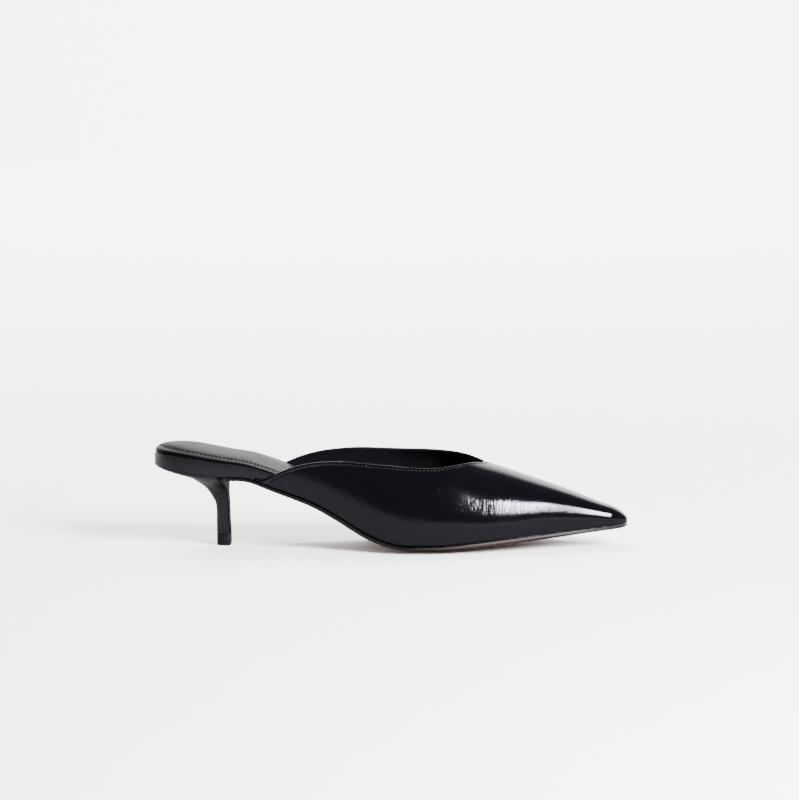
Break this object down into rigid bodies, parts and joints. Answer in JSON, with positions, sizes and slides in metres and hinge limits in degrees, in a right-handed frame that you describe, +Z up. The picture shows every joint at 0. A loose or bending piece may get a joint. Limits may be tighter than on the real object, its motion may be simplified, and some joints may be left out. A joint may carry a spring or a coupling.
{
  "type": "kitten heel mule",
  "caption": "Backless pointed-toe mule in polished black leather on a slim kitten heel: hollow upper, padded stitched insole, leather-covered heel and thin outsole, right shoe.",
  "frame": {"origin": "middle of the heel's tread, on the floor", "axes": "+X toward the toe, +Y toward the inner side of the foot, +Z up from the floor"},
  "size_m": [0.2564, 0.0755, 0.0559],
  "materials": {
    "upper_leather": "polished black leather with fine grain, black leather lining inside",
    "insole_leather": "smooth glossy black leather over padding, two rows of stitching round its edge",
    "board_cover": "satin black leather wrapped over the board",
    "heel_cover": "satin black leather wrapped over the heel",
    "top_piece_rubber": "hard matte black rubber",
    "outsole_resin": "warm brown resin sole with a black painted edge"
  },
  "bodies": {
    "root": {"upper": "upper_leather", "insole": "insole_leather", "insole_board": "board_cover", "heel": "heel_cover", "top_piece": "top_piece_rubber", "outsole": "outsole_resin"}
  },
  "joints": []
}
